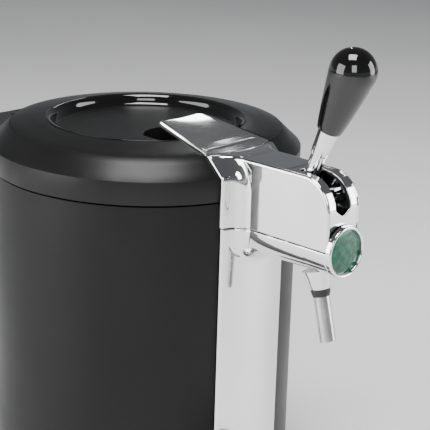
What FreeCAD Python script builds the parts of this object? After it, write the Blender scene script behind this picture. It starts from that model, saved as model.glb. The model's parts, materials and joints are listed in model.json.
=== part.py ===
import FreeCAD, Part
import math
import os

os.makedirs("parts", exist_ok=True)

V = FreeCAD.Vector

# Overall sizes, in millimetres
lid_top = 355.0
body_radius = 135.5
body_top = 317.6
base_bottom = 8.0
base_top = 30.0
gap = 0.3
wall = 2.6

# Cooling chamber for a standard five-litre keg
chamber_radius = 91.0
liner_wall = 1.2
chamber_floor = 46.0
liner_top = 312.0
shell_wall = 1.5
rim_top = 316.0
gasket_top = 319.2

# Lid: a flat ring round a shallow recess, a bevel and a straight skirt
lid_flat_radius = 120.3
lid_radius = 137.2
lid_bevel_drop = 15.8
skirt_bottom = 319.6
recess_radius = 83.0
recess_floor = 351.4
recess_rim_radius = 88.5
recess_rim_rise = 5.4
recess_mid_radius = 84.6
panel_seat = recess_floor - 2.5
panel_lip = 6.0
recess_ring_height = 0.9
recess_mid_height = lid_top + 2.0
plug_radius = 87.5
plug_bottom = 303.0
lid_flange_bottom = 319.5
lid_flange_thick = 2.6
lid_plate_gap = 0.5
lid_screw_circle = 111.5

# Head of the tap: saddle, arm and rounded nose, heights below the lid top
head_half_width = 38.4
notch_gap = 0.7
seam_radius = 120.6
crown_radius = seam_radius - notch_gap
head_seam_drop = 58.2
cover_floor_top = 4.0
cover_end_low = 10.0
arm_seam_drop = 58.8
column_half_width = 37.5
column_face_radius = 125.0
column_face_reach = 140.0
arm_half_width = 21.0
arm_tip_half_width = 19.4
arm_taper_end = 206.0
arm_reach = 231.0
nose_radius = 28.0
fairing_reach = 150.0
arm_round_drop = 62.0
slot_half_width = 8.7
slot_back = 187.0
slot_drop = 30.0
channel_half_width = 10.0

# Tap lever
lever_lean = 22.4
pivot_reach = 185.6
pivot_drop = 26.0
pivot_pin_radius = 3.0
pivot_pin_half = arm_tip_half_width - wall + 1.6
stem_radius = 6.5
stem_top = 42.8
ferrule_top = 66.0
knob_radius = 19.0
knob_centre = 119.7
knob_bottom_radius = 10.75

# Spout
spout_lean = 14.5
spout_reach = 206.5
spout_drop = 83.0
neck_top_radius = 12.5
neck_low_radius = 9.0
neck_length = 14.6
collar_length = 6.4
nozzle_length = 37.6
nozzle_radius = 6.75
nozzle_bore = 5.0

# Badge ring on the nose
badge_radius = 21.4
badge_face_radius = 18.7
badge_drop = 60.0
badge_depth = 5.0

# Handle flap on the lid
flap_tip_reach = 40.6
flap_tip_rise = 12.0
flap_tip_half_width = 27.6
flap_front_reach = 119.0
flap_half_width = 39.2
flap_thick = 3.0
flap_pivot_reach = 104.0
flap_pivot_drop = 2.0
flap_pin_radius = 2.0
flap_barrel_radius = 3.6
pocket_gap = 1.2
pocket_drop = 14.5
pocket_back_gap = 0.6

# Lid hinge behind the body
hinge_reach = 150.0
hinge_height = 330.0
hinge_pin_radius = 2.5
hinge_lug_in = 20.0
hinge_lug_out = 28.0
running_gap = 0.06

# Rear housing
housing_reach = 170.0
housing_half_width = 60.0
housing_top = 336.0
housing_wall = 2.5
fan_height = 172.0
fan_half = 40.0
switch_height = 92.0
inlet_height = 56.0

# Drip tray
tray_back = 143.0
tray_half_width = 62.0
tray_centre = 230.0
tray_bottom = 14.0
tray_top = 38.0
tray_wall = 2.2
grid_ledge = 33.0
grid_thick = 2.6

# Beer line
tube_radius = 4.0
tube_drop = 48.0

# Feet and screws
foot_radius = 9.0
foot_seat = 12.0
screw_radius = 1.6
screw_head_radius = 3.4
screw_seat = 14.0
base_screw_turns = (-60, 60, -100, 100)
lid_screw_turns = (60, 120, -120, -60)

# Cooling unit
bridge_half = 22.0
peltier_front = body_radius - 5.0
peltier_thick = 4.0
fin_depth = 14.5
fan_front = peltier_front + peltier_thick + fin_depth
gasket_outer = 106.0

# Power rocker, standing proud of the housing's back
rocker_pivot_in = 5.0
rocker_nose = 6.8
rocker_half = 9.6
rocker_tilt = 8.0
rocker_turn = math.radians(rocker_tilt)
rear_reach = (housing_reach - rocker_pivot_in
              + rocker_nose * math.cos(rocker_turn) + rocker_half * math.sin(rocker_turn))

# The keg axis stands behind the middle of the footprint
axis_back = (tray_centre + tray_half_width - rear_reach) / 2.0


def side(reach, height):
    """A point in the middle plane, reach forward of the keg axis."""
    return V(0, -reach, height)


def plan(across, reach):
    return V(across, -reach, 0)


def radial(radius, height):
    return V(radius, 0, height)


def outline(place, start, steps):
    """A closed face: a step is a point, or an arc's middle and end."""
    here = place(*start)
    edges = []
    for step in steps + [start]:
        if isinstance(step[0], tuple):
            middle, end = place(*step[0]), place(*step[1])
            edges.append(Part.Arc(here, middle, end).toShape())
        else:
            end = place(*step)
            if end.distanceToPoint(here) > 1e-6:
                edges.append(Part.makeLine(here, end))
        here = end
    return Part.Face(Part.Wire(edges))


def turned(start, steps):
    return outline(radial, start, steps).revolve(V(0, 0, 0), V(0, 0, 1), 360)


def across(start, steps, half_width):
    """A side outline made as wide as half_width on each side."""
    face = outline(side, start, steps)
    face.translate(V(-half_width, 0, 0))
    return face.extrude(V(2 * half_width, 0, 0))


def upright(start, steps, low, high):
    face = outline(plan, start, steps)
    face.translate(V(0, 0, low))
    return face.extrude(V(0, 0, high - low))


def block(half_width, back, front, low, high):
    return Part.makeBox(2 * half_width, front - back, high - low, V(-half_width, -front, low))


def disc(radius, low, high, at=(0.0, 0.0)):
    return Part.makeCylinder(radius, high - low, V(at[0], -at[1], low))


def ring(outer, inner, low, high):
    return disc(outer, low, high).cut(disc(inner, low - 1, high + 1))


def bar(radius, half_length, reach, height):
    """A cylinder along the width of the machine."""
    return Part.makeCylinder(radius, 2 * half_length, V(-half_length, -reach, height), V(1, 0, 0))


def polar(radius, degrees):
    turn = math.radians(degrees)
    return radius * math.sin(turn), radius * math.cos(turn)


def on_circle(radius, half_width):
    return math.sqrt(radius * radius - half_width * half_width)


def save(name, shape):
    """Write one node, moved so that the footprint's middle is the origin."""
    placed = shape.copy()
    placed.translate(V(0, axis_back, 0))
    placed.exportStep("parts/" + name + ".step")


# Base, feet and drip tray

def tray_form(inset, low, high):
    half = tray_half_width - inset
    back = tray_back + inset
    return upright(
        (-half, back),
        [(half, back), (half, tray_centre), ((0, tray_centre + half), (-half, tray_centre))],
        low, high)


def housing_form(inset, low, high):
    half = housing_half_width - inset
    back = -housing_reach + inset
    turn = 14.0
    soft = turn * (1 - math.sqrt(0.5))
    return upright(
        (-half, -100.0),
        [(-half, back + turn), ((-half + soft, back + soft), (-half + turn, back)),
         (half - turn, back), ((half - soft, back + soft), (half, back + turn)), (half, -100.0)],
        low, high)


def base_moulding():
    shape = disc(body_radius, base_bottom, base_top)
    shape = shape.fuse(housing_form(0, base_bottom, base_top))
    tongue = tray_form(3.0, base_bottom, tray_bottom)
    tongue = tongue.fuse(block(tray_half_width - 3.0, 110.0, tray_back + 4.0, base_bottom, tray_bottom))
    shape = shape.fuse(tongue)
    for x, s in foot_places():
        shape = shape.cut(disc(foot_radius + 0.1, base_bottom - 1, foot_seat, (x, s)))
    shape = shape.cut(column_strip(-gap, tray_bottom, base_top + 1))
    for x, s in screw_places(120.0, base_screw_turns):
        shape = shape.cut(disc(screw_radius + 0.05, base_bottom, base_top + 1, (x, s)))
        shape = shape.cut(disc(screw_head_radius + 0.2, base_bottom - 1, screw_seat, (x, s)))
    return shape.removeSplitter()


def foot_places():
    places = [polar(112.0, turn) for turn in (-125, 125)]
    places += [(-44.0, 222.0), (44.0, 222.0)]
    return places


def screw_places(radius, turns):
    return [polar(radius, turn) for turn in turns]


def rubber_feet():
    feet = []
    for x, s in foot_places():
        foot = disc(foot_radius, 3.0, foot_seat, (x, s))
        tread = Part.makeCone(foot_radius - 1.5, foot_radius, 3.0, V(x, -s, 0))
        feet.append(foot.fuse(tread).removeSplitter())
    return Part.makeCompound(feet)


def base_screws():
    screws = []
    for x, s in screw_places(120.0, base_screw_turns):
        head = disc(screw_head_radius, screw_seat - 2.4, screw_seat, (x, s))
        shank = disc(screw_radius, screw_seat, chamber_floor - 6.0, (x, s))
        screws.append(head.fuse(shank))
    return Part.makeCompound(screws)


def drip_tray():
    pan = tray_form(0, tray_bottom, tray_top)
    upper = tray_form(tray_wall, grid_ledge, tray_top + 1)
    lower = tray_form(tray_wall + 2.0, tray_bottom + 2.5, grid_ledge + 1)
    return pan.cut(upper).cut(lower)


def drip_grid():
    inset = tray_wall + 0.4
    plate = tray_form(inset, grid_ledge, grid_ledge + grid_thick)
    pitch, slot_half = 9.0, 2.3
    reach = tray_half_width - inset - 7.0
    for row in range(-5, 6):
        middle = tray_back + 71.0 + row * pitch
        ahead = max(0.0, middle - tray_centre + slot_half)
        half = math.sqrt(max(reach * reach - ahead * ahead, 100.0)) if ahead < reach else 10.0
        plate = plate.cut(block(half, middle - slot_half, middle + slot_half,
                                grid_ledge - 1, grid_ledge + grid_thick + 1))
    return plate


# Body and cooling chamber

def tube_slot(low_drop):
    """The way out for the beer line, open at the top."""
    return block(tube_radius + 1.2, 60.0, body_radius + 20, lid_top - low_drop, rim_top + 4)


def outer_shell():
    shell = ring(body_radius, body_radius - shell_wall, base_top, body_top)
    shell = shell.cut(block(tube_radius + 1.2, 100, 150, lid_top - 62.0, body_top + 1))
    window = block(30.0, -body_radius - 5, -100.0, fan_height - 30, fan_height + 30)
    return shell.cut(window)


def insulation_jacket():
    outer = body_radius - shell_wall - gap
    inner = chamber_radius + liner_wall + gap
    jacket = ring(outer, inner, chamber_floor - 2.0, liner_top)
    jacket = jacket.cut(tube_slot(61.0))
    jacket = jacket.cut(sensor_form(0.4))
    bridge = block(bridge_half + 0.5, -outer - 5, -inner + 5, fan_height - bridge_half - 0.5,
                   fan_height + bridge_half + 0.5)
    return jacket.cut(bridge)


def insulation_floor():
    pad = disc(body_radius - shell_wall - gap, base_top, chamber_floor - 2.0 - gap)
    for x, s in screw_places(120.0, base_screw_turns):
        pad = pad.cut(disc(screw_radius + 0.05, base_top - 1, chamber_floor - 5.0, (x, s)))
    return pad


def keg_liner():
    outer = chamber_radius + liner_wall
    cup = disc(outer, chamber_floor - 2.0, liner_top)
    cup = cup.cut(disc(chamber_radius, chamber_floor, liner_top + 1))
    return cup.cut(tube_slot(58.0))


def top_rim():
    outer = body_radius - shell_wall - gap
    rim = ring(outer, chamber_radius + 1.0, liner_top + gap, rim_top)
    return rim


def rim_gasket():
    return turned((gasket_outer - 6.0, rim_top), [
        (gasket_outer, rim_top), (gasket_outer, rim_top + 1.2), (gasket_outer - 2.0, gasket_top),
        (gasket_outer - 4.0, gasket_top), (gasket_outer - 6.0, rim_top + 1.2)])


# Chrome column with the lower half of the arm

def column_plan(inset):
    """Half widths and reaches of the column face, fairing and arm, seen from above."""
    half = head_half_width - inset
    face = column_face_radius - inset
    centre = column_face_reach - column_face_radius
    corner = centre + on_circle(face, half)
    fair_x = 33.0 - inset * 0.4
    fair_s = centre + on_circle(face, fair_x)
    return half, corner, fair_x, fair_s


def head_plan(inset, low, high):
    half, corner, fair_x, fair_s = column_plan(inset)
    arm = arm_half_width - inset
    tip = arm_tip_half_width - inset
    edge_x = (half + fair_x) / 2.0
    edge_s = column_face_reach - column_face_radius + on_circle(column_face_radius - inset, edge_x)
    mid_x, mid_s = 24.7 - inset, 139.4 - inset * 0.4
    front = arm_reach + 20
    return upright(
        (-half, 100.0),
        [(half, 100.0), (half, corner), ((edge_x, edge_s), (fair_x, fair_s)),
         ((mid_x, mid_s), (arm, fairing_reach)), (tip, arm_taper_end), (tip, front),
         (-tip, front), (-tip, arm_taper_end), (-arm, fairing_reach),
         ((-mid_x, mid_s), (-fair_x, fair_s)), ((-edge_x, edge_s), (-half, corner))],
        low, high)


def column_strip(inset, low, high):
    centre = column_face_reach - column_face_radius
    strip = Part.makeCylinder(column_face_radius - inset, high - low, V(0, -centre, low))
    strip = strip.common(block(column_half_width - inset, 100, 160, low, high))
    return strip.cut(disc(body_radius + gap + inset, low - 1, high + 1))


def arm_section(inset, top):
    """The lower arm: straight sides over a half round, from the column to the nose."""
    half = arm_half_width - inset
    round_height = lid_top - arm_round_drop
    body = block(half, 128.0, arm_reach - inset, round_height, top)
    low = Part.makeCylinder(half, arm_reach - inset - 128.0, V(0, -128.0, round_height), V(0, -1, 0))
    return body.fuse(low)


def column_and_arm():
    top = lid_top - arm_seam_drop
    strip = column_strip(0, tray_bottom + gap, top)
    arm = arm_section(0, top).common(head_plan(0, lid_top - 100, top))
    fairing = head_plan(0, lid_top - 100, top).common(block(40.0, 130.0, fairing_reach, 200, top))
    over = block(60.0, 120.0, fairing_reach + 2.0, lid_top - arm_round_drop, top)
    fairing = fairing.common(over)
    shape = strip.fuse([arm, fairing])
    shape = shape.cut(disc(body_radius + gap, 0, top + 1))
    trough = arm_section(wall, top + 1)
    trough = trough.common(block(arm_tip_half_width - wall, body_radius + 4.5, arm_reach, 200, top + 1))
    shape = shape.cut(trough)
    entry = block(channel_half_width, 120.0, body_radius + 12, lid_top - 66.0, top + 1)
    shape = shape.cut(entry)
    return shape.cut(spout_cone(0.1)).removeSplitter()


def spout_point(length):
    """A point on the spout axis, length below the arm."""
    lean = math.radians(spout_lean)
    return V(0, -(spout_reach + length * math.sin(lean)), lid_top - spout_drop - length * math.cos(lean))


def spout_axis():
    lean = math.radians(spout_lean)
    return V(0, -math.sin(lean), -math.cos(lean))


def spout_piece(start, length, top_radius, low_radius):
    if abs(top_radius - low_radius) < 1e-6:
        return Part.makeCylinder(top_radius, length, spout_point(start), spout_axis())
    return Part.makeCone(top_radius, low_radius, length, spout_point(start), spout_axis())


def spout_cone(grow):
    slope = (neck_top_radius - neck_low_radius) / neck_length
    above = 9.0
    radius = neck_top_radius + slope * above
    return spout_piece(-above, neck_length + above, radius + grow, neck_low_radius + grow)


def spout_neck():
    neck = spout_cone(0)
    keep = block(30.0, 180.0, 240.0, lid_top - 120, lid_top - arm_round_drop - arm_half_width + wall)
    neck = neck.common(keep)
    return neck.cut(spout_piece(-12, 40, nozzle_bore, nozzle_bore))


def spout_collar():
    collar = spout_piece(neck_length, collar_length, 8.25, 6.75)
    return collar.cut(spout_piece(neck_length - 1, collar_length + 2, nozzle_bore, nozzle_bore))


def spout_nozzle():
    start = neck_length + collar_length
    pipe = spout_piece(start, nozzle_length, nozzle_radius, nozzle_radius)
    bore = spout_piece(start - 1, nozzle_length + 2, nozzle_bore + 0.6, nozzle_bore + 0.6)
    return pipe.cut(bore)


def beer_line():
    points = [(17.0, tube_drop), (112.0, tube_drop), (160.0, 64.0), (198.0, 65.0), (207.2, 84.5)]
    corners = [side(s, lid_top - drop) for s, drop in points]
    edges = []
    here = corners[0]
    for before, corner, after in zip(corners, corners[1:], corners[2:]):
        back, on = before - corner, after - corner
        turn = math.pi - back.getAngle(on)
        reach = min(back.Length, on.Length) * 0.45
        start = corner + back.normalize() * reach
        end = corner + on.normalize() * reach
        radius = reach / math.tan(turn / 2.0)
        toward = (back + on).normalize()
        centre = corner + toward * (radius / math.cos(turn / 2.0))
        middle = centre - toward * radius
        edges.append(Part.makeLine(here, start))
        edges.append(Part.Arc(start, middle, end).toShape())
        here = end
    edges.append(Part.makeLine(here, corners[-1]))
    path = Part.Wire(edges)
    heading = corners[1] - corners[0]
    section = Part.Wire(Part.makeCircle(tube_radius, corners[0], heading))
    return path.makePipeShell([section], True, False)


def keg_connector():
    low = lid_top - tube_drop - 6.0
    hub = turned((5.0, low - 5.0), [
        (14.0, low - 5.0), (14.0, low), (11.0, low), (11.0, low + 11.0), (10.0, low + 12.0),
        (0, low + 12.0), (0, low + 2.0), (5.0, low + 2.0)])
    nose = Part.makeCylinder(tube_radius + 1.0, 7.0, V(0, -10.0, lid_top - tube_drop), V(0, -1, 0))
    return hub.fuse(nose)


def pinch_anvil():
    low = lid_top - arm_round_drop - arm_half_width + wall
    form = block(7.0, 168.0, 180.0, low - 3.0, lid_top - 70.0)
    return form.common(arm_section(wall + 0.05, lid_top - 60.0))


# Head over the arm: the tap cover

def head_form(inset):
    seam = lid_top - head_seam_drop
    top = lid_top - inset
    centre = column_face_reach - column_face_radius
    cone_low = seam - 10.0
    crest = column_face_radius - lid_bevel_drop - inset * 1.2
    cone = Part.makeCone(crest + (top - cone_low), crest, top - cone_low, V(0, -centre, cone_low))
    saddle = head_plan(inset, cone_low, top).common(cone)
    nose = nose_radius - inset
    centre_s, centre_z = arm_reach - nose_radius, lid_top - nose_radius
    half = math.sqrt(0.5) * nose
    arm = across(
        (100.0, cone_low),
        [(arm_reach - inset, cone_low), (arm_reach - inset, centre_z),
         ((centre_s + half, centre_z + half), (centre_s, top)), (100.0, top)],
        arm_half_width - inset)
    return saddle.fuse(arm.common(head_plan(inset, cone_low - 1, top + 1)))


def tap_cover():
    seam = lid_top - head_seam_drop
    shape = head_form(0)
    hollow = head_form(wall)
    hollow = hollow.common(block(60.0, seam_radius + wall + 1.0, arm_reach, 0, lid_top))
    core = disc(body_radius + gap + 6.5, 0, body_top + cover_floor_top)
    shape = shape.cut(hollow.cut(core))
    shape = shape.cut(block(80.0, 90.0, 260.0, 0, seam))
    shape = shape.cut(disc(seam_radius, 0, lid_top + 1))
    shape = shape.cut(disc(body_radius + gap, 0, body_top + 1.2))
    channel = block(channel_half_width, 110.0, body_radius + 16.0, 0, lid_top - 34.0)
    shape = shape.cut(channel)
    below_end = block(head_half_width - wall, 90.0, seam_radius + wall, 0, body_top + cover_end_low)
    shape = shape.cut(below_end)
    slot = block(slot_half_width, slot_back, arm_reach + 5.0, lid_top - slot_drop, lid_top + 5)
    shape = shape.cut(slot)
    shape = shape.cut(bar(pivot_pin_radius + 0.02, pivot_pin_half + 0.1, pivot_reach, lid_top - pivot_drop))
    return shape.removeSplitter()


def lever_pivot_pin():
    """The pin's ends stop inside the side walls, so that nothing shows outside."""
    return bar(pivot_pin_radius, pivot_pin_half, pivot_reach, lid_top - pivot_drop)


def slot_liner():
    """A curved liner plate under each chrome band of the nose."""
    centre_s, centre_z = arm_reach - nose_radius, lid_top - nose_radius
    outer = nose_radius - wall - 0.1
    liner = bar(outer, slot_half_width + 4.0, centre_s, centre_z)
    liner = liner.cut(bar(outer - 1.6, 40.0, centre_s, centre_z))
    liner = liner.common(block(20.0, centre_s, arm_reach, centre_z, lid_top))
    return liner.cut(block(slot_half_width, 150.0, 260.0, 0, lid_top + 5))


# Tap lever: everything is turned about its axis and then leaned forward

def leaned(shape):
    shape.rotate(V(0, 0, 0), V(1, 0, 0), lever_lean)
    shape.translate(V(0, -pivot_reach, lid_top - pivot_drop))
    return shape


def lever_stem():
    shaft = disc(stem_radius, 8.0, stem_top)
    blade = block(4.0, -stem_radius, stem_radius, 0, 12.0)
    boss = bar(9.0, 4.0, 0, 0)
    finger = block(3.0, -4.0, 4.0, -22.0, 0).fuse(bar(4.0, 3.0, 0, -22.0))
    lever = shaft.fuse([blade, boss, finger])
    lever = lever.cut(bar(pivot_pin_radius + running_gap, 20.0, 0, 0))
    return leaned(lever.removeSplitter())


def lever_ferrule():
    cone = turned((0, stem_top), [
        (stem_radius, stem_top), (stem_radius + 0.5, stem_top + 1.0), (8.6, ferrule_top), (0, ferrule_top)])
    return leaned(cone)


def lever_knob():
    middle = (ferrule_top + knob_centre) / 2.0
    lean_in = math.radians(4.0)
    shoulder_r = knob_radius * math.cos(lean_in)
    shoulder_z = knob_centre - knob_radius * math.sin(lean_in)
    waist = (knob_bottom_radius + shoulder_r) / 2.0 + 0.6
    face = outline(radial, (0, ferrule_top), [
        (knob_bottom_radius - 1.0, ferrule_top), (knob_bottom_radius, ferrule_top + 1.0),
        ((waist, middle), (shoulder_r, shoulder_z)),
        ((knob_radius * math.sin(math.radians(45)), knob_centre + knob_radius * math.cos(math.radians(45))),
         (0, knob_centre + knob_radius))])
    return leaned(face.revolve(V(0, 0, 0), V(0, 0, 1), 360))


# Badge ring and its domed face

def badge_ring():
    outer = Part.makeCylinder(badge_radius, badge_depth, badge_point(gap), V(0, -1, 0))
    outer = outer.makeFillet(1.6, [front_rim(outer)])
    bore = Part.makeCylinder(badge_face_radius + 0.05, badge_depth, badge_point(gap + 2.0), V(0, -1, 0))
    return outer.cut(bore)


def front_rim(shape):
    """The circular edge that lies furthest forward."""
    circles = [edge for edge in shape.Edges if isinstance(edge.Curve, Part.Circle)]
    return min(circles, key=lambda edge: edge.BoundBox.YMin)


def badge_point(ahead):
    return V(0, -(arm_reach + ahead), lid_top - badge_drop)


def badge_face():
    rise = 1.9
    start = gap + 2.0
    dome_radius = (badge_face_radius ** 2 + rise ** 2) / (2 * rise)
    flat = Part.makeCylinder(badge_face_radius, 1.4 + rise, badge_point(start), V(0, -1, 0))
    ball = Part.makeSphere(dome_radius, badge_point(start + 1.4 + rise - dome_radius))
    return flat.common(ball)


# Lid and its handle

def lid_outer(inset, low):
    slope = inset * 0.414
    return turned((0, low), [
        (lid_radius - inset, low), (lid_radius - inset, lid_top - lid_bevel_drop - slope),
        (lid_flat_radius - slope, lid_top - inset), (recess_rim_radius, lid_top + recess_rim_rise - inset),
        (recess_mid_radius - inset * 0.8, recess_mid_height - inset * 0.6),
        (recess_radius - inset, recess_floor), (recess_radius - inset, panel_seat - inset),
        (0, panel_seat - inset)])


def front_notch(grow):
    """Room in the lid for the saddle of the head."""
    notch = block(head_half_width + notch_gap + grow, 60.0, 160.0, 300.0, lid_top + 10)
    return notch.cut(disc(seam_radius - notch_gap - grow, 290.0, lid_top + 12))


def flap_plan(grow, low, high):
    tip = flap_tip_half_width + grow
    wide = flap_half_width + grow
    back = flap_tip_reach - grow
    turn_s = 50.0
    front_r = flap_front_reach + grow
    front_s = on_circle(front_r, wide)
    return upright(
        (-tip, turn_s),
        [((-tip + 3.0, back + 3.4), (-tip + 10.0, back + 0.8)), ((0, back), (tip - 10.0, back + 0.8)),
         ((tip - 3.0, back + 3.4), (tip, turn_s)), (wide, front_s),
         ((0, front_r), (-wide, front_s))],
        low, high)


def flap_pocket(grow, deep):
    """The dished place in the lid's ring that the handle drops into."""
    pocket = flap_plan(pocket_gap + grow, lid_top - pocket_drop - deep, lid_top + 20)
    return pocket.cut(disc(recess_radius - pocket_back_gap - grow, 0, lid_top + 30))


def finger_pocket(grow):
    half, back, front = 25.0 + grow, 10.0 - grow, 62.0 + grow
    depth = lid_top - 16.0 - grow
    side_back = back + 14.0
    return upright(
        (-half, front),
        [(-half, side_back), ((0, back), (half, side_back)), (half, front)],
        depth, lid_top + 2.0)


def hook_way():
    """The hook swings back through the lid, and the strike stands up into it."""
    hook_low = gasket_top - 0.7
    swing = block(7.0, flap_pivot_reach - 26.0, flap_pivot_reach + 7.0, hook_low, lid_top - pocket_drop + 1)
    return swing.fuse(block(10.0, flap_pivot_reach - 2.0, 125.0, hook_low, rim_top + 11.0))


def lid_shell():
    """The crown of the lid: its sloping ring, the recess wall and the pocket for the handle."""
    shape = lid_outer(0, skirt_bottom).common(disc(crown_radius, 0, lid_top + recess_rim_rise + 1))
    shape = shape.cut(flap_pocket(0, 0))
    hollow = lid_outer(wall, skirt_bottom - 1).common(disc(crown_radius - wall, 0, lid_top + recess_rim_rise))
    hollow = hollow.cut(flap_pocket(wall, wall))
    shape = shape.cut(hollow).cut(disc(recess_radius - panel_lip, panel_seat - wall - 1, lid_top + 9))
    for x, s in screw_places(lid_screw_circle, lid_screw_turns):
        boss = disc(4.0, lid_flange_bottom + lid_flange_thick, lid_top + recess_rim_rise, (x, s))
        boss = boss.common(lid_outer(wall / 2.0, 0)).cut(disc(1.3, 0, lid_top - 12.0, (x, s)))
        shape = shape.fuse(boss)
    shape = shape.cut(bar(flap_pin_radius, 43.0, flap_pivot_reach, lid_top - flap_pivot_drop))
    return shape.cut(hook_way()).removeSplitter()


def lid_skirt():
    """The outer band of the lid: bevel, skirt and hinge lugs, open at the front for the head."""
    band = lid_outer(0, skirt_bottom).cut(front_notch(0))
    hollow = lid_outer(wall, skirt_bottom - 1).cut(front_notch(wall))
    shape = band.cut(hollow).cut(disc(crown_radius + gap, 0, lid_top + recess_rim_rise + 1))
    for sign in (-1, 1):
        middle = sign * (hinge_lug_in + hinge_lug_out) / 2.0
        half = (hinge_lug_out - hinge_lug_in) / 2.0
        lug = bar(6.0, half, -hinge_reach, hinge_height)
        arm = block(half, -hinge_reach, -(lid_radius - 6.0), hinge_height - 4.0, hinge_height + 6.0)
        arm = arm.fuse(lug)
        arm.translate(V(middle, 0, 0))
        shape = shape.fuse(arm.cut(disc(lid_radius - wall, 0, 400)))
    return shape.cut(bar(hinge_pin_radius + running_gap, 60.0, -hinge_reach, hinge_height)).removeSplitter()


def lid_panel():
    """The flat panel of the recess, with the pocket for the fingers under the handle."""
    panel = disc(recess_radius - gap, panel_seat, recess_floor)
    cup = finger_pocket(wall).common(disc(recess_radius - panel_lip - 0.5, 0, recess_floor - 0.1))
    panel = panel.fuse(cup).cut(finger_pocket(0)).cut(flap_pocket(0.3, 0))
    return panel.removeSplitter()


def lid_inner():
    """The moulded underside: a flange over the rim and a plug in the chamber."""
    flange_top = lid_flange_bottom + lid_flange_thick
    plate = disc(crown_radius - wall - lid_plate_gap, lid_flange_bottom, flange_top)
    plug = disc(plug_radius, plug_bottom, flange_top)
    shape = plate.fuse(plug)
    shape = shape.cut(disc(plug_radius - wall, plug_bottom + wall, flange_top + 1))
    run = block(9.0 + wall, 0, plug_radius - 0.5, plug_bottom, flange_top)
    shape = shape.fuse([disc(32.0, plug_bottom, flange_top), run])
    shape = shape.cut(disc(32.0 - wall, plug_bottom - 1, flange_top - wall))
    shape = shape.cut(block(9.0, 0, plug_radius + 1.0, plug_bottom - 1, flange_top - wall))
    shape = shape.cut(hook_way())
    for x, s in screw_places(lid_screw_circle, lid_screw_turns):
        shape = shape.cut(disc(2.1, 300, 330, (x, s)))
    return shape.removeSplitter()


def lid_insulation():
    low = lid_flange_bottom + lid_flange_thick
    pad = disc(recess_radius - panel_lip, low, lid_top - 16.0 - wall - gap)
    return pad.cut(hook_way())


def lid_screws():
    screws = []
    for x, s in screw_places(lid_screw_circle, lid_screw_turns):
        head = disc(3.2, lid_flange_bottom - 1.4, lid_flange_bottom, (x, s))
        shank = disc(1.3, lid_flange_bottom, lid_top - 14.0, (x, s))
        screws.append(head.fuse(shank))
    return Part.makeCompound(screws)


def recess_ring():
    """A gloss trim ring laid in the cove round the recess floor."""
    outer, inner = recess_radius - gap - 0.1, recess_radius - 4.0
    band = ring(outer, inner, recess_floor, recess_floor + recess_ring_height)
    return band.cut(flap_pocket(0.5, 0)).cut(finger_pocket(0.5))


def handle_pin():
    return bar(flap_pin_radius, 42.8, flap_pivot_reach, lid_top - flap_pivot_drop)


def flap_height(reach):
    """Height of the flap's top face above the lid top."""
    span = flap_front_reach - flap_tip_reach
    return flap_tip_rise * (flap_front_reach - reach) / span


def lid_handle():
    tip, front = flap_tip_reach - 6.0, flap_front_reach + 6.0
    rise = flap_tip_rise + 1.6
    mid = (tip + front) / 2.0
    top_face = [(mid, lid_top + flap_height(mid) + 1.6), (tip, lid_top + rise)]
    plate = across(
        (front, lid_top - 0.8),
        [(tuple(top_face[0]), tuple(top_face[1])), (tip, lid_top + rise - flap_thick),
         ((mid, lid_top + flap_height(mid) + 1.6 - flap_thick), (front, lid_top - 0.8 - flap_thick))],
        60.0)
    shape = plate.common(flap_plan(0, lid_top - 30, lid_top + 30))
    barrel = bar(flap_barrel_radius, 30.0, flap_pivot_reach, lid_top - flap_pivot_drop)
    web = block(30.0, flap_pivot_reach - 2.6, flap_pivot_reach + 2.6, lid_top - flap_pivot_drop,
                lid_top - flap_pivot_drop + 4.0)
    shape = shape.fuse([barrel, web])
    return shape.cut(bar(flap_pin_radius + running_gap, 60.0, flap_pivot_reach, lid_top - flap_pivot_drop))


def latch_hook():
    top = lid_top - flap_pivot_drop - flap_barrel_radius - 0.05
    low = gasket_top + 2.0
    stem = block(4.5, flap_pivot_reach - 1.6, flap_pivot_reach + 1.6, low, top)
    toe = across(
        (flap_pivot_reach - 1.6, low),
        [(flap_pivot_reach + 3.6, low), (flap_pivot_reach + 3.6, low + 2.0),
         (flap_pivot_reach + 1.6, low + 4.0), (flap_pivot_reach - 1.6, low + 4.0)], 4.5)
    return stem.fuse(toe).removeSplitter()


def latch_strike():
    back = flap_pivot_reach + 3.6 + 0.5
    return across(
        (back, rim_top),
        [(back + 4.0, rim_top), (back + 4.0, rim_top + 4.0), (back + 2.0, rim_top + 7.0),
         (back, rim_top + 5.0)], 9.0)


# Rear housing and what it holds

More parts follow.
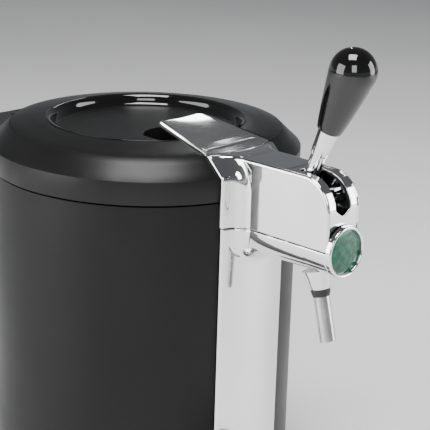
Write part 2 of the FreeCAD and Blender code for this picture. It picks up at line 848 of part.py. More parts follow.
def rear_housing():
    shape = housing_form(0, base_top, housing_top)
    hollow = housing_form(housing_wall, base_top + housing_wall, housing_top - housing_wall)
    shape = shape.cut(hollow)
    shape = shape.cut(disc(body_radius + gap, 0, body_top + 1.0))
    shape = shape.cut(disc(lid_radius + 1.4, body_top, 400))
    lid_well = block(hinge_lug_out + 0.8, -hinge_reach - 9.0, -100.0, body_top + 3.0, housing_top + 5)
    walls = block(
        hinge_lug_out + 0.8 + housing_wall + 4.0, -hinge_reach - 9.0 - housing_wall,
        -lid_radius + 1.0, body_top + 3.0 - housing_wall, housing_top)
    walls = walls.cut(disc(lid_radius + 1.4, body_top, 400)).cut(disc(body_radius + gap, 0, 400))
    shape = shape.fuse(walls).cut(lid_well)
    for row in range(7):
        height = fan_height - 30.0 + row * 10.0
        half = on_circle(40.0, abs(height - fan_height))
        shape = shape.cut(block(half, -housing_reach - 1, -housing_reach + housing_wall + 1,
                                height - 2.2, height + 2.2))
    for row in range(5):
        height = fan_height + 60.0 + row * 9.0
        shape = shape.cut(block(34.0, -housing_reach - 1, -housing_reach + housing_wall + 1,
                                height - 1.8, height + 1.8))
    shape = shape.cut(bar(hinge_pin_radius, 36.0, -hinge_reach, hinge_height))
    shape = shape.cut(switch_place(0.0))
    shape = shape.cut(inlet_place(0.0))
    for x, height in housing_screw_places():
        shape = shape.cut(housing_screw(x, height, 0.1))
    return shape.removeSplitter()


def switch_place(inset):
    return block(9.0 - inset, -housing_reach - 5, -housing_reach + 8, switch_height - 12.5 + inset,
                 switch_height + 12.5 - inset)


def inlet_place(inset):
    return block(12.0 - inset, -housing_reach - 5, -housing_reach + 6, inlet_height - 8.0 + inset,
                 inlet_height + 8.0 - inset)


def lid_hinge_pin():
    return bar(hinge_pin_radius, 35.8, -hinge_reach, hinge_height)


def switch_frame():
    back = -housing_reach
    flange = block(11.0, back - 1.2, back, switch_height - 14.5, switch_height + 14.5)
    barrel = block(9.0, back - 0.5, back + 14.0, switch_height - 12.5, switch_height + 12.5)
    cavity = block(7.4, back - 2.0, back + 12.0, switch_height - 10.9, switch_height + 10.9)
    frame = flange.fuse(barrel).cut(cavity)
    return frame.cut(bar(1.5, 8.4, back + rocker_pivot_in, switch_height)).removeSplitter()


def power_rocker():
    """A rocker on its own trunnions, one end pressed in at rest."""
    pivot = -housing_reach + rocker_pivot_in
    nose = pivot - rocker_nose
    rocker = across(
        (pivot + 4.0, switch_height - 5.0),
        [(pivot + 4.0, switch_height + 5.0), (nose, switch_height + rocker_half),
         ((nose + 1.6, switch_height), (nose, switch_height - rocker_half))], 7.1)
    rocker = rocker.fuse(bar(1.44, 8.3, pivot, switch_height))
    rocker.rotate(V(0, -pivot, switch_height), V(1, 0, 0), -rocker_tilt)
    return rocker.removeSplitter()


def power_inlet():
    back = -housing_reach
    flange = block(14.0, back - 1.0, back, inlet_height - 10.0, inlet_height + 10.0)
    barrel = block(12.0, back - 0.5, back + 16.0, inlet_height - 8.0, inlet_height + 8.0)
    cavity = block(9.0, back - 2.0, back + 13.0, inlet_height - 5.0, inlet_height + 5.0)
    shape = flange.fuse(barrel).cut(cavity)
    for x in (-4.3, 4.3):
        blade = Part.makeCylinder(1.2, 11.0, V(x, -(back + 13.5), inlet_height), V(0, 1, 0))
        shape = shape.fuse(blade)
    return shape.removeSplitter()


def cold_bridge():
    start = chamber_radius + liner_wall + gap
    form = block(bridge_half, -(body_radius - 5.0), -60.0, fan_height - bridge_half, fan_height + bridge_half)
    return form.cut(disc(start, 0, 400))


def peltier_module():
    half = 20.0
    return block(half, -(peltier_front + peltier_thick), -peltier_front, fan_height - half, fan_height + half)


def heat_sink():
    front = peltier_front + peltier_thick
    half_wide, half_high = 29.0, 29.0
    plate = block(half_wide, -(front + 4.0), -front, fan_height - half_high, fan_height + half_high)
    fins = []
    for index in range(9):
        x = -half_wide + 1.0 + index * (2 * half_wide - 2.0) / 8.0
        fin = block(1.0, -(front + fin_depth), -(front + 3.0), fan_height - half_high, fan_height + half_high)
        fin.translate(V(x, 0, 0))
        fins.append(fin)
    return plate.fuse(fins).removeSplitter()


def fan_frame():
    depth = 12.0
    frame = block(fan_half, -(fan_front + depth), -fan_front, fan_height - fan_half, fan_height + fan_half)
    middle = V(0, fan_front - 1, fan_height)
    frame = frame.cut(Part.makeCylinder(fan_half - 2.0, depth + 2, middle, V(0, 1, 0)))
    hub = Part.makeCylinder(10.0, 1.6, V(0, fan_front, fan_height), V(0, 1, 0))
    spokes = [block(1.5, -(fan_front + 1.6), -fan_front, fan_height - fan_half + 1, fan_height + fan_half - 1),
              block(fan_half - 1, -(fan_front + 1.6), -fan_front, fan_height - 1.5, fan_height + 1.5)]
    spindle = Part.makeCylinder(1.5, 10.0, V(0, fan_front, fan_height), V(0, 1, 0))
    return frame.fuse([hub, spindle] + spokes).removeSplitter()


def fan_rotor():
    start = fan_front + 2.2
    depth = 8.6
    rotor = Part.makeCylinder(13.0, depth, V(0, start, fan_height), V(0, 1, 0))
    limit = Part.makeCylinder(fan_half - 3.4, depth, V(0, start, fan_height), V(0, 1, 0))
    for index in range(7):
        blade = Part.makeBox(1.4, 16.0, 40.0, V(-0.7, start + depth / 2 - 8.0, fan_height))
        blade.rotate(V(0, start + depth / 2, fan_height), V(0, 0, 1), 50)
        blade.rotate(V(0, start, fan_height), V(0, 1, 0), index * 360.0 / 7)
        rotor = rotor.fuse(blade.common(limit))
    bore = Part.makeCylinder(1.5 + running_gap, 40.0, V(0, start - 5, fan_height), V(0, 1, 0))
    return rotor.cut(bore).removeSplitter()


def control_board():
    back = housing_reach - 20.0
    board = block(30.0, -back, -(back - 1.6), 108.0, 129.0)
    chip = block(6.0, -(back - 1.6), -(back - 3.4), 112.0, 122.0)
    standoff = block(3.0, -(housing_reach - housing_wall), -back, 108.0, 112.0)
    shape = board.fuse([chip, standoff])
    capacitor = Part.makeCylinder(4.0, 9.0, V(20.0, back - 10.6, 118.0), V(0, 1, 0))
    return shape.fuse(capacitor).removeSplitter()


def sensor_form(grow):
    """A bead against the back of the chamber, below the cold bridge."""
    reach = -(chamber_radius + liner_wall + gap)
    top = fan_height - bridge_half - 6.0
    return block(4.0 + grow, reach - 6.0 - grow, reach + grow, top - 8.0 - grow, top + grow)


def temperature_sensor():
    return sensor_form(0)


def housing_screws():
    return Part.makeCompound([housing_screw(x, height, 0) for x, height in housing_screw_places()])


def housing_screw_places():
    return [(x, height) for x in (-46.0, 46.0) for height in (46.0, 300.0)]


def housing_screw(x, height, grow):
    """A sunk screw head, flush with the housing's back."""
    deep = 1.6
    return Part.makeCylinder(3.0 + grow, deep, V(x, housing_reach - deep, height), V(0, 1, 0))


nodes = {
    "base_moulding": base_moulding, "rubber_feet": rubber_feet, "base_screws": base_screws,
    "drip_tray": drip_tray, "drip_grid": drip_grid, "outer_shell": outer_shell,
    "insulation_jacket": insulation_jacket, "insulation_floor": insulation_floor,
    "keg_liner": keg_liner, "top_rim": top_rim, "rim_gasket": rim_gasket,
    "column_and_arm": column_and_arm, "spout_neck": spout_neck, "spout_collar": spout_collar,
    "spout_nozzle": spout_nozzle, "beer_line": beer_line, "keg_connector": keg_connector,
    "pinch_anvil": pinch_anvil, "tap_cover": tap_cover, "lever_pivot_pin": lever_pivot_pin,
    "slot_liner": slot_liner, "lever_stem": lever_stem, "lever_ferrule": lever_ferrule,
    "lever_knob": lever_knob, "badge_ring": badge_ring, "badge_face": badge_face,
    "lid_shell": lid_shell, "lid_skirt": lid_skirt, "lid_panel": lid_panel, "lid_inner": lid_inner,
    "lid_insulation": lid_insulation,
    "lid_screws": lid_screws, "recess_ring": recess_ring, "handle_pin": handle_pin,
    "lid_handle": lid_handle, "latch_hook": latch_hook, "latch_strike": latch_strike,
    "rear_housing": rear_housing, "lid_hinge_pin": lid_hinge_pin, "switch_frame": switch_frame,
    "power_rocker": power_rocker, "power_inlet": power_inlet, "cold_bridge": cold_bridge,
    "peltier_module": peltier_module, "heat_sink": heat_sink, "fan_frame": fan_frame,
    "fan_rotor": fan_rotor, "control_board": control_board, "temperature_sensor": temperature_sensor,
    "housing_screws": housing_screws,
}

for node_name, make in nodes.items():
    save(node_name, make())
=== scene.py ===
import json
import math

import bmesh
import bpy
import numpy as np
from mathutils import Matrix, Vector


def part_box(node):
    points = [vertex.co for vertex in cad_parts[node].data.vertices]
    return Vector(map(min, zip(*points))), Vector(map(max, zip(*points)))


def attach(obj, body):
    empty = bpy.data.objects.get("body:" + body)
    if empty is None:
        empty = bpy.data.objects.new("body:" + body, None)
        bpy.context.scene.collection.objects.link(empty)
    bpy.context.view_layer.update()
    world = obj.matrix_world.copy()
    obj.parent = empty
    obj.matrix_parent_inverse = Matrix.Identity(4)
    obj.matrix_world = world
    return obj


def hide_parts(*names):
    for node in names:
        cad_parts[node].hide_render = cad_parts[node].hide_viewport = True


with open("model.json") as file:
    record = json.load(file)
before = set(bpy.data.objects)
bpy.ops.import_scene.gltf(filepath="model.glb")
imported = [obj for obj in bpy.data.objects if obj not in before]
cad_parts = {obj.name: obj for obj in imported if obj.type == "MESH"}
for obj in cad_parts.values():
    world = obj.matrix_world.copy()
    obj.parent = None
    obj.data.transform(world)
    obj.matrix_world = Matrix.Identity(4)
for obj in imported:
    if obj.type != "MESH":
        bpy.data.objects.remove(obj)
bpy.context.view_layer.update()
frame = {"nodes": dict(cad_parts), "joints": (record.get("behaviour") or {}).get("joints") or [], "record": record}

MM = 0.001

# Places taken from the frame, in metres
joints = {joint["name"]: joint for joint in frame["joints"]}
drum_low, drum_high = (Vector(corner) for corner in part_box("outer_shell"))
axis = Vector(((drum_low.x + drum_high.x) / 2, (drum_low.y + drum_high.y) / 2, 0))

# Top of the lid above the counter, in millimetres
lid_height = 355.0


def at(reach, height, across=0.0):
    """A point given in millimetres: forward of the keg axis, above the counter, to the right."""
    return Vector((across * MM, axis.y - reach * MM, height * MM))


# Camera at the photograph's viewing angle

camera_turn = math.radians(42.7)
camera_distance = 1.265
camera_height = 0.670
camera_pitch = math.radians(17.54)
camera_yaw = math.radians(2.86)
camera_roll = math.radians(1.75)
sensor_width = 36.0
focal_pixels, picture_pixels = 1470, 430
camera_lens = sensor_width * focal_pixels / picture_pixels


def make_camera():
    data = bpy.data.cameras.new("photo_camera")
    camera = bpy.data.objects.new("photo_camera", data)
    bpy.context.collection.objects.link(camera)
    ahead = Vector((math.sin(camera_yaw) * math.cos(camera_pitch),
                    math.cos(camera_yaw) * math.cos(camera_pitch), -math.sin(camera_pitch)))
    right = ahead.cross(Vector((0, 0, 1))).normalized()
    up = right.cross(ahead)
    right_rolled = right * math.cos(camera_roll) + up * math.sin(camera_roll)
    up_rolled = up * math.cos(camera_roll) - right * math.sin(camera_roll)
    turn = Matrix.Rotation(-camera_turn, 3, "Z")
    columns = [turn @ right_rolled, turn @ up_rolled, turn @ -ahead]
    rotation = Matrix(columns).transposed()
    place = axis + turn @ Vector((0, -camera_distance, camera_height))
    camera.matrix_world = Matrix.Translation(place) @ rotation.to_4x4()
    data.lens = camera_lens
    data.sensor_width = sensor_width
    data.clip_start = 0.05
    bpy.context.scene.camera = camera


# Materials: each has its own grain and unevenness

def nodes_of(name):
    material = bpy.data.materials.new(name)
    material.use_nodes = True
    tree = material.node_tree
    shader = tree.nodes["Principled BSDF"]
    return material, tree, shader


def noise(tree, scale, detail=4.0, stretch=(1, 1, 1)):
    place = tree.nodes.new("ShaderNodeTexCoord")
    mapping = tree.nodes.new("ShaderNodeMapping")
    mapping.inputs["Scale"].default_value = stretch
    texture = tree.nodes.new("ShaderNodeTexNoise")
    texture.inputs["Scale"].default_value = scale
    texture.inputs["Detail"].default_value = detail
    tree.links.new(place.outputs["Object"], mapping.inputs["Vector"])
    tree.links.new(mapping.outputs["Vector"], texture.inputs["Vector"])
    return texture.outputs["Fac"]


def ramp(tree, source, stops):
    """Colours along a 0 to 1 value."""
    node = tree.nodes.new("ShaderNodeValToRGB")
    band = node.color_ramp
    while len(band.elements) < len(stops):
        band.elements.new(0.5)
    for element, (place, colour) in zip(band.elements, stops):
        element.position = place
        element.color = (*colour, 1.0)
    tree.links.new(source, node.inputs["Fac"])
    return node.outputs["Color"]


def grey(value):
    return (value, value, value)


def surface(name, dark, light, rough, metal=0.0, vary=30.0, rough_span=0.06, grain=2500.0,
            bump=0.02, stretch=(1, 1, 1), coat=0.0, specular=0.5, bump_depth=0.0002):
    material, tree, shader = nodes_of(name)
    patches = noise(tree, vary, 5.0, stretch)
    colour = ramp(tree, patches, [(0.3, dark), (0.7, light)])
    tree.links.new(colour, shader.inputs["Base Color"])
    smoothest, roughest = max(rough - rough_span, 0.01), rough + rough_span
    roughness = ramp(tree, patches, [(0.3, grey(smoothest)), (0.7, grey(roughest))])
    tree.links.new(roughness, shader.inputs["Roughness"])
    fine = noise(tree, grain, 2.0, stretch)
    relief = tree.nodes.new("ShaderNodeBump")
    relief.inputs["Strength"].default_value = bump
    relief.inputs["Distance"].default_value = bump_depth
    tree.links.new(fine, relief.inputs["Height"])
    tree.links.new(relief.outputs["Normal"], shader.inputs["Normal"])
    shader.inputs["Metallic"].default_value = metal
    shader.inputs["Specular IOR Level"].default_value = specular
    shader.inputs["Coat Weight"].default_value = coat
    shader.inputs["Coat Roughness"].default_value = 0.08
    return material


def badge_material():
    """Mottled foil under clear lacquer, dark to bluish green."""
    material, tree, shader = nodes_of("badge_foil")
    mottle = noise(tree, 190.0, 6.0)
    colour = ramp(tree, mottle, [(0.30, (0.0, 0.030, 0.014)), (0.5, (0.0, 0.075, 0.036)),
                                 (0.70, (0.0, 0.150, 0.090))])
    tree.links.new(colour, shader.inputs["Base Color"])
    shader.inputs["Metallic"].default_value = 0.2
    shader.inputs["Roughness"].default_value = 0.3
    shader.inputs["Specular IOR Level"].default_value = 0.3
    shader.inputs["Coat Weight"].default_value = 0.35
    shader.inputs["Coat Roughness"].default_value = 0.03
    return material


def make_materials():
    made = {}
    made["satin_black"] = surface("satin_black", grey(0.0035), grey(0.006), 0.40, vary=12.0, grain=1800.0,
                                  bump=0.05, specular=0.22)
    made["lid_black"] = surface("lid_black", grey(0.0045), grey(0.007), 0.33, vary=9.0, grain=2600.0,
                                bump=0.08, specular=0.26)
    made["gloss_black"] = surface("gloss_black", grey(0.002), grey(0.004), 0.05, vary=20.0, rough_span=0.02,
                                  grain=900.0, bump=0.004, coat=0.4, specular=0.4)
    made["black_plastic"] = surface("black_plastic", grey(0.014), grey(0.021), 0.48, vary=14.0, grain=2200.0,
                                    bump=0.12)
    made["chrome"] = surface("chrome", grey(0.80), grey(0.86), 0.055, metal=1.0, vary=14.0, rough_span=0.025,
                             grain=500.0, bump=0.004)
    made["steel"] = surface("steel", grey(0.50), grey(0.60), 0.26, metal=1.0, vary=40.0, rough_span=0.03,
                            grain=1200.0, bump=0.01)
    made["aluminium"] = surface("aluminium", grey(0.60), grey(0.70), 0.35, metal=1.0, vary=25.0,
                                stretch=(1, 1, 0.1), bump=0.05)
    made["foam"] = surface("foam", (0.70, 0.67, 0.58), (0.80, 0.78, 0.70), 0.9, vary=60.0, grain=700.0,
                           bump=0.5)
    made["rubber"] = surface("rubber", grey(0.010), grey(0.016), 0.62, vary=40.0, grain=1500.0, bump=0.12)
    made["tube"] = surface("tube", (0.62, 0.66, 0.68), (0.74, 0.78, 0.80), 0.2, vary=40.0)
    made["ceramic_white"] = surface("ceramic_white", grey(0.72), grey(0.80), 0.5)
    made["board_green"] = surface("board_green", (0.01, 0.10, 0.04), (0.02, 0.16, 0.06), 0.4, vary=120.0)
    made["badge_green"] = badge_material()
    return made


# Mesh helpers

def new_piece(name, mesh, body, material, replaced=()):
    piece = bpy.data.objects.new(name, mesh)
    bpy.context.collection.objects.link(piece)
    mesh.materials.append(material)
    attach(piece, body)
    if replaced:
        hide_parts(*replaced)
    return piece


def smooth(mesh, degrees=32.0):
    for polygon in mesh.polygons:
        polygon.use_smooth = True
    mesh.set_sharp_from_angle(angle=math.radians(degrees))


def rounded(points, radius, steps=5):
    """A polyline whose inner corners are rounded; points are (radius, height) pairs."""
    result = [points[0]]
    for before, corner, after in zip(points, points[1:], points[2:]):
        here = Vector(corner)
        back = Vector(before) - here
        on = Vector(after) - here
        reach = min(radius, back.length * 0.45, on.length * 0.45)
        start = here + back.normalized() * reach
        end = here + on.normalized() * reach
        for index in range(steps + 1):
            t = index / steps
            spot = start * (1 - t) ** 2 + here * (2 * t * (1 - t)) + end * t ** 2
            result.append((spot.x, spot.y))
    result.append(points[-1])
    return result


def lathe(name, outline, segments=96, closed=False):
    """A turned mesh about Z from (radius, height) pairs in millimetres."""
    work = bmesh.new()
    rings = []
    for radius, height in outline:
        if radius < 1e-4:
            rings.append([work.verts.new((0, 0, height * MM))])
            continue
        loop = []
        for index in range(segments):
            turn = 2 * math.pi * index / segments
            spot = Vector((radius * math.cos(turn), radius * math.sin(turn), height)) * MM
            loop.append(work.verts.new(spot))
        rings.append(loop)
    pairs = list(zip(rings, rings[1:]))
    if closed:
        pairs.append((rings[-1], rings[0]))
    for low, high in pairs:
        for index in range(segments):
            after = (index + 1) % segments
            if len(low) == 1:
                work.faces.new((low[0], high[after], high[index]))
            elif len(high) == 1:
                work.faces.new((low[index], low[after], high[0]))
            else:
                work.faces.new((low[index], low[after], high[after], high[index]))
    bmesh.ops.recalc_face_normals(work, faces=work.faces)
    mesh = bpy.data.meshes.new(name)
    work.to_mesh(mesh)
    work.free()
    smooth(mesh)
    return mesh


def arc(centre, radius, start, end, steps):
    """Points on an arc, angles in degrees from the outward direction."""
    points = []
    for index in range(steps + 1):
        turn = math.radians(start + (end - start) * index / steps)
        points.append((centre[0] + radius * math.cos(turn), centre[1] + radius * math.sin(turn)))
    return points


# Tap lever: turned parts on an axis that leans forward from its pivot

lever_lean = math.radians(22.4)
lever_pivot = Vector(joints["lever_hinge"]["pos_m"])
lever_place = Matrix.Translation(lever_pivot) @ Matrix.Rotation(lever_lean, 4, "X")

stem_radius = 6.5
stem_top = 42.8
ferrule_top = 66.0
knob_radius = 19.0
knob_centre = 119.7
knob_bottom = 10.75


def make_knob(look):
    body = [(0, ferrule_top), (knob_bottom - 1.6, ferrule_top)]
    body += [(knob_bottom - 0.5, ferrule_top + 0.4), (knob_bottom, ferrule_top + 1.6)]
    sphere_start = -6.0
    shoulder = arc((0, knob_centre), knob_radius, sphere_start, 90.0, 26)
    steps = 16
    first = Vector((knob_bottom, ferrule_top + 1.6))
    last = Vector(shoulder[0])
    control = Vector(((first.x + last.x) / 2 + 1.0, (first.y + last.y) / 2))
    for index in range(1, steps):
        t = index / steps
        spot = first * (1 - t) ** 2 + control * (2 * t * (1 - t)) + last * t ** 2
        body.append((spot.x, spot.y))
    body += shoulder[:-1] + [(0, knob_centre + knob_radius)]
    mesh = lathe("knob", body, 96)
    mesh.transform(lever_place)
    new_piece("lever_knob_turned", mesh, "lever", look["gloss_black"], ["lever_knob"])


def make_ferrule(look):
    outline = [(0, stem_top), (stem_radius, stem_top), (stem_radius + 0.9, stem_top + 0.3),
               (stem_radius + 1.1, stem_top + 1.6), (8.5, ferrule_top - 0.5), (8.2, ferrule_top),
               (0, ferrule_top)]
    mesh = lathe("ferrule", outline, 96)
    mesh.transform(lever_place)
    new_piece("lever_ferrule_turned", mesh, "lever", look["chrome"], ["lever_ferrule"])


# Spout: neck, rubber collar and steel nozzle on one leaning axis

spout_lean = math.radians(14.5)
spout_reach, spout_drop = 206.5, 83.0
spout_root = at(spout_reach, lid_height - spout_drop)
spout_place = Matrix.Translation(spout_root) @ Matrix.Rotation(math.pi - spout_lean, 4, "X")
neck_length = 14.6
collar_length = 6.4
nozzle_length = 37.6


def make_spout(look):
    neck = [(5.2, -1.0), (12.6, -1.0), (12.5, 0), (10.9, 5.0), (9.6, 10.5), (9.0, neck_length - 0.8),
            (8.4, neck_length), (5.2, neck_length)]
    collar_end = neck_length + collar_length
    collar = [(5.2, neck_length), (8.0, neck_length), (8.25, neck_length + 0.5), (8.0, neck_length + 2.6),
              (7.4, collar_end - 1.6), (7.0, collar_end - 0.2), (6.7, collar_end), (5.2, collar_end)]
    tip = collar_end + nozzle_length
    nozzle = [(5.6, collar_end), (6.75, collar_end), (6.75, tip - 0.5), (6.4, tip), (5.9, tip),
              (5.6, tip - 0.6)]
    for name, outline, slot, node in (
            ("spout_neck_turned", neck, "chrome", "spout_neck"),
            ("spout_collar_turned", collar, "rubber", "spout_collar"),
            ("spout_nozzle_turned", nozzle, "steel", "spout_nozzle")):
        mesh = lathe(name, outline, 96, closed=True)
        mesh.transform(spout_place)
        new_piece(name, mesh, "root", look[slot], [node])


# Badge: a rounded chrome ring round a domed face

badge_reach, badge_drop = 231.3, 60.0
badge_root = at(badge_reach, lid_height - badge_drop)
badge_place = Matrix.Translation(badge_root) @ Matrix.Rotation(math.radians(90), 4, "X")


def make_badge(look):
    bead = arc((19.95, 3.3), 1.45, 10.0, 170.0, 14)
    ring = [(21.4, 0.0), (21.4, 3.2)] + bead + [(18.5, 2.2), (18.5, 0.0)]
    mesh = lathe("badge_ring", ring, 128, closed=True)
    mesh.transform(badge_place)
    new_piece("badge_ring_turned", mesh, "root", look["chrome"], ["badge_ring"])
    rise, radius, start = 1.9, 18.45, 1.8
    sphere = (radius ** 2 + rise ** 2) / (2 * rise)
    dome = [(0, 0.4), (radius, 0.4)]
    steps = 16
    for index in range(steps + 1):
        out = radius * (1 - index / steps)
        dome.append((out, start + rise - sphere + math.sqrt(sphere ** 2 - out ** 2)))
    mesh = lathe("badge_face", dome, 128)
    mesh.transform(badge_place)
    new_piece("badge_face_domed", mesh, "root", look["badge_green"], ["badge_face"])


# Rounded surfaces: the zero level of a distance-like field, in millimetres (across, reach, height)

def joined_cut(a, b, radius):
    """Where both fields are inside, with the edge between them rounded."""
    corner = np.sqrt(np.maximum(a + radius, 0) ** 2 + np.maximum(b + radius, 0) ** 2)
    return np.minimum(-radius, np.maximum(a, b)) + corner


def joined_sum(a, b, radius):
    """Where either field is inside, with the corner between them filled."""
    corner = np.sqrt(np.maximum(radius - a, 0) ** 2 + np.maximum(radius - b, 0) ** 2)
    return np.maximum(radius, np.minimum(a, b)) - corner


def net(field, low, high, step):
    """Points and quads of the field's zero level, one point in each grid cell that it crosses."""
    axes = [np.arange(start, end + step, step) for start, end in zip(low, high)]
    value = field(*np.meshgrid(*axes, indexing="ij"))
    inside = value < 0
    cells = tuple(count - 1 for count in value.shape)
    total = np.zeros(cells + (3,))
    count = np.zeros(cells)
    crossings = []
    for along in range(3):
        others = [axis_index for axis_index in range(3) if axis_index != along]
        first = [slice(None)] * 3
        second = [slice(None)] * 3
        first[along], second[along] = slice(0, -1), slice(1, None)
        start, end = value[tuple(first)], value[tuple(second)]
        crossed = inside[tuple(first)] != inside[tuple(second)]
        part = np.where(crossed, start / np.where(crossed, start - end, 1.0), 0.0)
        crossings.append((crossed, inside[tuple(first)]))
        for shift_a in (0, 1):
            for shift_b in (0, 1):
                window = [slice(None)] * 3
                window[others[0]] = slice(shift_a, cells[others[0]] + shift_a)
                window[others[1]] = slice(shift_b, cells[others[1]] + shift_b)
                hit = crossed[tuple(window)]
                total[..., along] += part[tuple(window)]
                total[..., others[0]] += hit * shift_a
                total[..., others[1]] += hit * shift_b
                count += hit
    active = count > 0
    number = np.full(cells, -1)
    number[active] = np.arange(int(active.sum()))
    points = (np.argwhere(active) + total[active] / count[active][:, None]) * step + np.array(low)
    quads = []
    for along, (crossed, begins_inside) in enumerate(crossings):
        next_a, next_b = (along + 1) % 3, (along + 2) % 3
        window = [slice(None)] * 3
        window[next_a], window[next_b] = slice(1, cells[next_a]), slice(1, cells[next_b])
        places = np.argwhere(crossed[tuple(window)])
        places[:, next_a] += 1
        places[:, next_b] += 1
        ring = []
        for back_a, back_b in ((1, 1), (0, 1), (0, 0), (1, 0)):
            spot = places.copy()
            spot[:, next_a] -= back_a
            spot[:, next_b] -= back_b
            ring.append(number[tuple(spot.T)])
        ring = np.stack(ring, 1)
        turned_over = ~begins_inside[tuple(places.T)]
        ring[turned_over] = ring[turned_over][:, ::-1]
        quads.append(ring)
    return points, np.concatenate(quads)


def slope_at(field, points, reach):
    slope = np.zeros_like(points)
    for axis_index in range(3):
        nudge = np.zeros(3)
        nudge[axis_index] = reach
        slope[:, axis_index] = (field(*(points + nudge).T) - field(*(points - nudge).T)) / (2 * reach)
    return slope


def sculpt(name, field, low, high, step):
    """A mesh of the field's zero level, with the field's own slope as its shading normals."""
    moves, near, far = 4, 0.05, 0.3
    points, quads = net(field, low, high, step)
    for _ in range(moves):
        slope = slope_at(field, points, near)
        size = np.maximum((slope ** 2).sum(1), 0.2)
        move = field(*points.T)[:, None] * slope / size[:, None]
        points = points - np.clip(move, -step / 2, step / 2)
    slope = slope_at(field, points, far)
    flip = np.array([1.0, -1.0, 1.0])
    normals = slope * flip / np.maximum(np.linalg.norm(slope, axis=1), 1e-6)[:, None]
    spots = points * flip * MM + np.array([0.0, axis.y, 0.0])
    mesh = bpy.data.meshes.new(name)
    mesh.from_pydata(spots.tolist(), [], quads[:, ::-1].tolist())
    mesh.update()
    for polygon in mesh.polygons:
        polygon.use_smooth = True
    facing = sum(polygon.normal.dot(Vector(normals[polygon.vertices[0]])) for polygon in mesh.polygons[:400])
    if facing < 0:
        mesh.flip_normals()
    mesh.normals_split_custom_set_from_vertices(normals.tolist())
    return mesh


# Chrome head, column and arm

column_back = 136.2
seam_radius = 120.6
saddle_centre = 15.0
saddle_radius = 125.0
saddle_half = 38.4
bevel_start = 109.2
column_half = 37.5
column_low = 14.3
arm_front = 231.0
nose_radius = 28.0
seam_height = 296.5
seam_gap = 0.45
arm_half_back, arm_half_tip = 21.0, 19.4
arm_taper = (150.0, 206.0)
fillet = 12.0
shell_wall = 2.6
drum_top = 318.8
slot_half, slot_start, slot_low = 8.7, 187.0, 323.4
chevron_slope = 0.64
band_outer, band_depth = 17.0, 1.1
band_lead, band_low = 6.0, 300.0
band_side_fade, band_end_fade, band_low_fade = 0.8, 2.0, 4.0
arm_under, arm_back, trough_back = 293.0, 130.0, 142.0

# Radii of their rounded edges
arm_edge, saddle_edge, bevel_edge, top_edge = 2.4, 2.0, 1.6, 1.2
back_edge, seam_edge, slot_edge = 0.8, 0.5, 0.7
column_edge, foot_edge = 2.2, 0.8


def arm_half(s):
    share = np.clip((s - arm_taper[0]) / (arm_taper[1] - arm_taper[0]), 0, 1)
    return arm_half_back + (arm_half_tip - arm_half_back) * share


def head_core(x, s, z):
    nose = joined_cut(s - arm_front, z - lid_height, nose_radius)
    arm = joined_cut(np.abs(x) - arm_half(s), nose, arm_edge)
    reach = np.hypot(x, s - saddle_centre)
    bevel = (reach - bevel_start + z - lid_height) / math.sqrt(2)
    saddle = joined_cut(reach - saddle_radius, np.abs(x) - saddle_half, saddle_edge)
    saddle = joined_cut(saddle, bevel, bevel_edge)
    return joined_cut(joined_sum(arm, saddle, fillet), z - lid_height, top_edge)


def head_field(x, s, z):
    core = head_core(x, s, z)
    radius = np.hypot(x, s)
    hollow = np.maximum(core + shell_wall, seam_radius + shell_wall - radius)
    hollow = np.maximum(hollow, np.minimum(column_back + shell_wall - radius, drum_top + shell_wall - z))
    band = np.clip((band_outer - np.abs(x)) / band_side_fade, 0, 1)
    band = band * np.clip((s - slot_start + band_lead) / band_end_fade, 0, 1)
    form = core + band_depth * band * np.clip((z - band_low) / band_low_fade, 0, 1)
    form = joined_cut(form, seam_radius - radius, back_edge)
    form = joined_cut(form, seam_height + seam_gap - z, seam_edge)
    form = np.maximum(form, np.minimum(column_back - radius, drum_top - z))
    form = np.maximum(form, -hollow)
    slot_floor = slot_low + chevron_slope * np.abs(x)
    slot = np.maximum(np.maximum(np.abs(x) - slot_half, slot_start - s), slot_floor - z)
    return joined_cut(form, -slot, slot_edge)


def column_field(x, s, z):
    radius = np.hypot(x, s)
    reach = np.hypot(x, s - saddle_centre)
    column = joined_cut(reach - saddle_radius, np.abs(x) - column_half, column_edge)
    rounded_under = np.hypot(x, np.minimum(z - arm_under, 0)) - arm_half(s)
    arm = joined_cut(rounded_under, s - arm_front, arm_edge)
    arm = np.maximum(arm, arm_back - s)
    form = joined_sum(column, arm, fillet)
    form = joined_cut(form, z - seam_height + seam_gap, seam_edge)
    form = joined_cut(form, column_low - z, foot_edge)
    form = np.maximum(form, column_back - radius)
    trough = np.maximum(np.maximum(arm + shell_wall, trough_back - s), s - arm_front + shell_wall)
    return np.maximum(form, -trough)


def make_chrome(look):
    mesh = sculpt("head", head_field, (-40, 108, 294), (40, 233, 357), 0.85)
    new_piece("tap_cover_form", mesh, "cover", look["chrome"], ["tap_cover"])
    mesh = sculpt("column", column_field, (-39.5, 118, 12), (39.5, 233, 298), 0.95)
    new_piece("column_and_arm_form", mesh, "root", look["chrome"], ["column_and_arm"])


# Handle flap of the lid

flap_tip, flap_seam = 40.6, 119.0
flap_tip_half, flap_seam_half = 27.6, 39.2
flap_corner = 9.0
flap_low, flap_rise, flap_thick = 354.6, 13.4, 3.0
rise_power = 1.08
dish_depth, dish_margin = 1.3, 4.0
flap_edge, barrel_fillet = 1.2, 1.0
flap_pivot, flap_barrel, flap_barrel_half = (104.0, 353.0), 3.6, 30.0


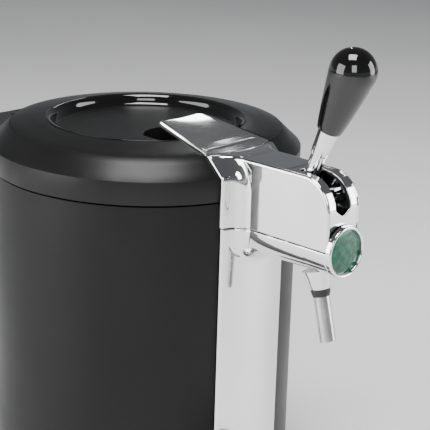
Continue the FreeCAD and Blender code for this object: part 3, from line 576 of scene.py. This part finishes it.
def flap_field(x, s, z):
    share = np.clip((flap_seam - s) / (flap_seam - flap_tip), 0, 1.05)
    half = flap_seam_half + (flap_tip_half - flap_seam_half) * share
    plan = joined_cut(np.abs(x) - half, flap_tip - s, flap_corner)
    plan = np.maximum(plan, np.hypot(x, s) - flap_seam)
    lift = flap_rise * share ** rise_power
    dish = dish_depth * np.clip(1 - (np.abs(x) / (half - dish_margin)) ** 2, 0, 1) * np.clip(share * 3, 0, 1)
    top = flap_low + lift - dish
    sheet = np.abs(z - top + flap_thick / 2) - flap_thick / 2
    plate = joined_cut(plan, sheet, flap_edge)
    barrel = np.hypot(s - flap_pivot[0], z - flap_pivot[1]) - flap_barrel
    barrel = np.maximum(barrel, np.abs(x) - flap_barrel_half)
    return joined_sum(plate, barrel, barrel_fillet)


def make_flap(look):
    mesh = sculpt("flap", flap_field, (-41, 38, 347), (41, 121, 371), 0.7)
    new_piece("lid_handle_form", mesh, "flap", look["chrome"], ["lid_handle"])


# Gloss cove ring up the recess wall, open where the handle's pocket is

ring_open = math.radians(29.6)


def make_recess_ring(look):
    outline = [(82.8, 351.45), (83.4, 353.2), (84.4, 356.9), (86.2, 359.5), (88.4, 360.7), (87.9, 361.0),
               (85.4, 360.4), (83.3, 358.0), (81.9, 354.6), (80.4, 352.6), (78.8, 351.5)]
    profile = rounded(outline, 1.4, 3)
    work = bmesh.new()
    segments = 220
    loops = []
    for index in range(segments + 1):
        turn = ring_open + (2 * math.pi - 2 * ring_open) * index / segments
        loops.append([work.verts.new(at(radius * math.cos(turn), height, radius * math.sin(turn)))
                      for radius, height in profile])
    for before, after in zip(loops, loops[1:]):
        for index in range(len(profile)):
            following = (index + 1) % len(profile)
            work.faces.new((before[index], before[following], after[following], after[index]))
    work.faces.new(loops[0])
    work.faces.new(loops[-1][::-1])
    bmesh.ops.recalc_face_normals(work, faces=work.faces)
    mesh = bpy.data.meshes.new("recess_ring")
    work.to_mesh(mesh)
    work.free()
    smooth(mesh, 50.0)
    new_piece("recess_ring_cove", mesh, "lid", look["gloss_black"], ["recess_ring"])


# CAD nodes keep their form and get softened edges

def soften(node, width, segments=3, limit=35.0):
    piece = frame["nodes"][node]
    weld = piece.modifiers.new("weld", "WELD")
    weld.merge_threshold = 0.00002
    bevel = piece.modifiers.new("bevel", "BEVEL")
    bevel.width = width * MM
    bevel.segments = segments
    bevel.limit_method = "ANGLE"
    bevel.angle_limit = math.radians(limit)
    bevel.harden_normals = True
    bevel.miter_outer = "MITER_ARC"
    return piece


def paint_nodes(look):
    slots = {row["node"]: row["material_slot"] for row in frame["record"]["subparts"]}
    for name, piece in frame["nodes"].items():
        piece.data.materials.clear()
        piece.data.materials.append(look[slots[name]])


# Studio

def make_world():
    """Bright at the height of the walls, greyer overhead."""
    world = bpy.context.scene.world or bpy.data.worlds.new("studio")
    bpy.context.scene.world = world
    world.use_nodes = True
    tree = world.node_tree
    place = tree.nodes.new("ShaderNodeTexCoord")
    split = tree.nodes.new("ShaderNodeSeparateXYZ")
    tree.links.new(place.outputs["Generated"], split.inputs["Vector"])
    colour = ramp(tree, split.outputs["Z"], [(0.0, (0.62, 0.64, 0.66)), (0.10, (0.20, 0.21, 0.22)),
                                             (0.45, (0.13, 0.135, 0.14)), (1.0, (0.10, 0.10, 0.11))])
    tree.links.new(colour, tree.nodes["Background"].inputs["Color"])
    tree.nodes["Background"].inputs["Strength"].default_value = 1.0


def make_studio():
    bpy.ops.mesh.primitive_plane_add(size=8.0, location=(0, 0, 0))
    floor = bpy.context.object
    floor.name = "floor"
    pale = surface("floor_pale", grey(0.84), grey(0.88), 0.6, vary=2.0, grain=300.0, bump=0.02)
    floor.data.materials.append(pale)
    make_world()
    for name, place, aim, size, power in (
            ("card_left", (-2.0, 0.8, 0.9), (0, 0, 0.25), (1.6, 1.6), 60.0),
            ("card_right", (1.6, -1.5, 0.8), (0, -0.1, 0.25), (1.1, 1.5), 40.0),
            ("card_front_left", (-1.4, -1.5, 1.3), (0, -0.1, 0.25), (0.8, 1.2), 26.0),
            ("top_soft", (-0.3, -0.2, 2.3), (0, 0, 0.3), (1.0, 1.0), 60.0),
            ("handle_streak", (1.5, 1.3, 1.5), (0, 0, 0.36), (0.055, 0.6), 1.3)):
        data = bpy.data.lights.new(name, "AREA")
        data.shape = "RECTANGLE"
        data.size, data.size_y = size
        data.energy = power
        light = bpy.data.objects.new(name, data)
        bpy.context.collection.objects.link(light)
        light.location = place
        light.rotation_euler = (Vector(aim) - Vector(place)).to_track_quat("-Z", "Y").to_euler()


make_camera()
look = make_materials()
paint_nodes(look)
make_studio()
make_knob(look)
make_ferrule(look)
make_spout(look)
make_badge(look)
make_chrome(look)
make_flap(look)
make_recess_ring(look)
for node_name, width in (("lid_shell", 0.8), ("lid_skirt", 0.8), ("drip_tray", 0.8),
                         ("base_moulding", 1.0), ("rear_housing", 0.8)):
    soften(node_name, width)
